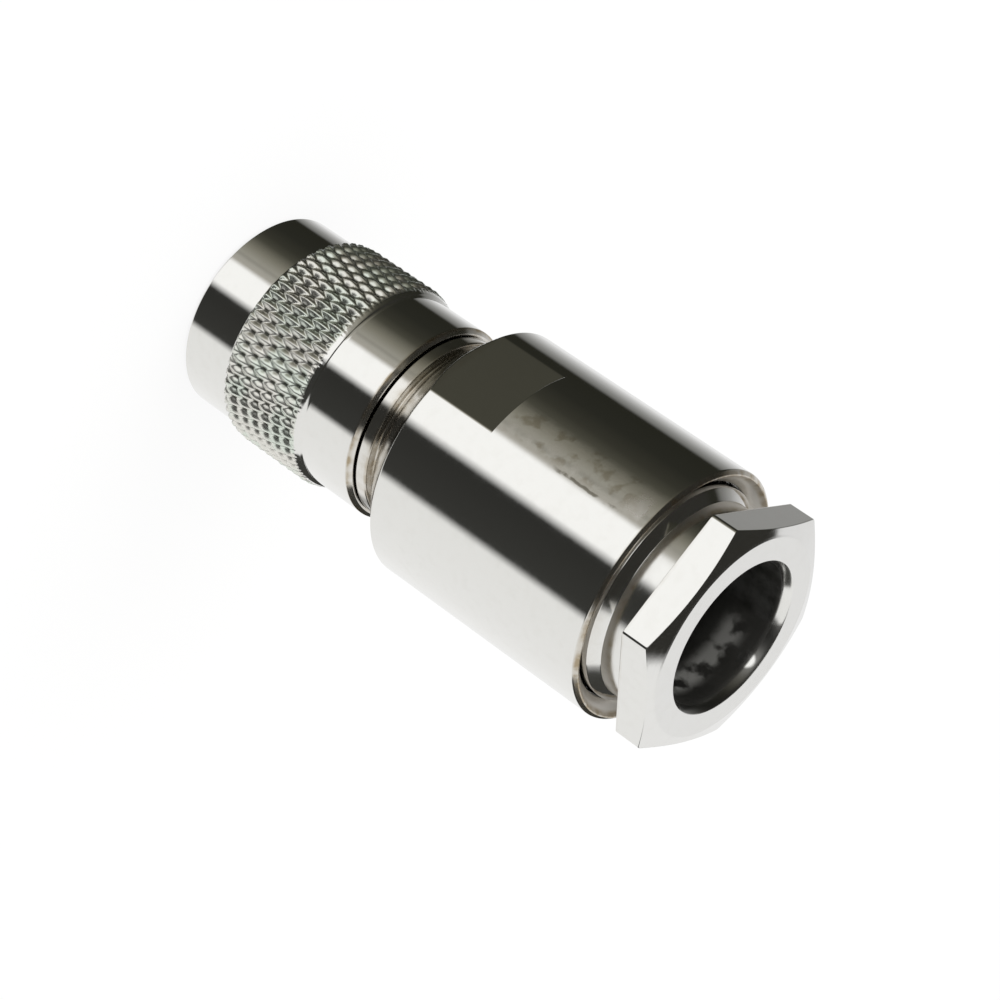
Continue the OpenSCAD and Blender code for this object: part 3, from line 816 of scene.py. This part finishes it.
def studioWorld(s):
    world = bpy.data.worlds.new("softStudio")
    world.use_nodes = True
    world.node_tree.nodes.clear()
    scene.world = world
    w = Wire(world.node_tree)
    way = w.node("ShaderNodeTexCoord", None, None, "Generated")
    x = w.node("ShaderNodeSeparateXYZ", None, {0: way}, "X")
    y, z = x.other("Y"), x.other("Z")
    azimuth = w.sum("ARCTAN2", x, 0 - y) / fullTurn + 0.5
    stops = [(a / 360 + 0.5, colour) for a, colour in studioStrips]
    seen = w.node("ShaderNodeValToRGB", {"stops": stops}, {0: azimuth})
    hang = w.sum("MAXIMUM", s["ceilingFrom"] - x, 0.0) * s["ceilingLean"]  # lower on the dark side
    seen = blendColour(w, ease(w, z + hang, *s["ceilingEdge"]), seen, s["ceiling"])
    seen = blendColour(w, ease(w, z, *s["skylightEdge"]), seen, s["skylight"])  # pale panel right overhead
    corner = ease(w, y, *s["cornerY"]) * ease(w, x, *s["cornerX"]) * ease(w, z, *s["cornerZ"])
    corner = corner * (1 - ease(w, z - x * s["cornerLean"], *s["cornerTop"]))
    seen = blendColour(w, corner, seen, s["corner"])
    path = w.node("ShaderNodeLightPath", None, None, "Is Camera Ray")
    colour = blendColour(w, path.other("Is Glossy Ray"), s["plain"], seen)
    colour = blendColour(w, path + path.other("Is Transmission Ray"), colour, s["white"])
    light = w.node("ShaderNodeBackground", None, {"Color": colour, "Strength": 1.0})
    w.node("ShaderNodeOutputWorld", None, {"Surface": light})


floorSet = {"size": 2.0, "level": -0.00002, "white": 0.85, "colour": (0.97, 0.97, 0.97, 1)}


def studioFloor(s):
    corners = [(x * s["size"], y * s["size"], s["level"]) for x, y in ((-1, -1), (1, -1), (1, 1), (-1, 1))]
    mesh = bpy.data.meshes.new("studioFloor")
    mesh.from_pydata(corners, [], [(0, 1, 2, 3)])
    material, w = startMaterial("paleFloor")
    path = w.node("ShaderNodeLightPath", None, None, "Is Camera Ray")
    paper = w.node("ShaderNodeBsdfDiffuse", None, {"Color": s["colour"]})
    white = w.node("ShaderNodeEmission", None, {"Color": (1, 1, 1, 1), "Strength": 1.0})
    mixed = w.node("ShaderNodeMixShader", None, {0: path * s["white"], 1: paper, 2: white})
    # clear from below, to show the mating face
    under = w.node("ShaderNodeNewGeometry", None, None, "Backfacing")
    clear = w.node("ShaderNodeBsdfTransparent")
    shown = w.node("ShaderNodeMixShader", None, {0: under, 1: mixed, 2: clear})
    w.node("ShaderNodeOutputMaterial", None, {"Surface": shown})
    mesh.materials.append(material)
    floor = bpy.data.objects.new("studioFloor", mesh)
    scene.collection.objects.link(floor)
    floor.visible_glossy = False  # the plating mirrors the strips, which reach below the horizon


lampSet = {"size": 0.25, "power": 0.30, "place": (-0.12, -0.16, 0.30), "aim": (0, 0, 0.02)}


def studioLamp(s):
    data = bpy.data.lights.new("softBox", "AREA")
    data.shape, data.size, data.energy = "DISK", s["size"], s["power"]
    lamp = bpy.data.objects.new("softBox", data)
    lamp.location = s["place"]
    lamp.rotation_mode = "QUATERNION"
    lamp.rotation_quaternion = (Vector(s["aim"]) - lamp.location).to_track_quat("-Z", "Y")
    lamp.visible_glossy = False
    scene.collection.objects.link(lamp)


studioWorld(studioSet)
studioFloor(floorSet)
studioLamp(lampSet)
print("studio lit")
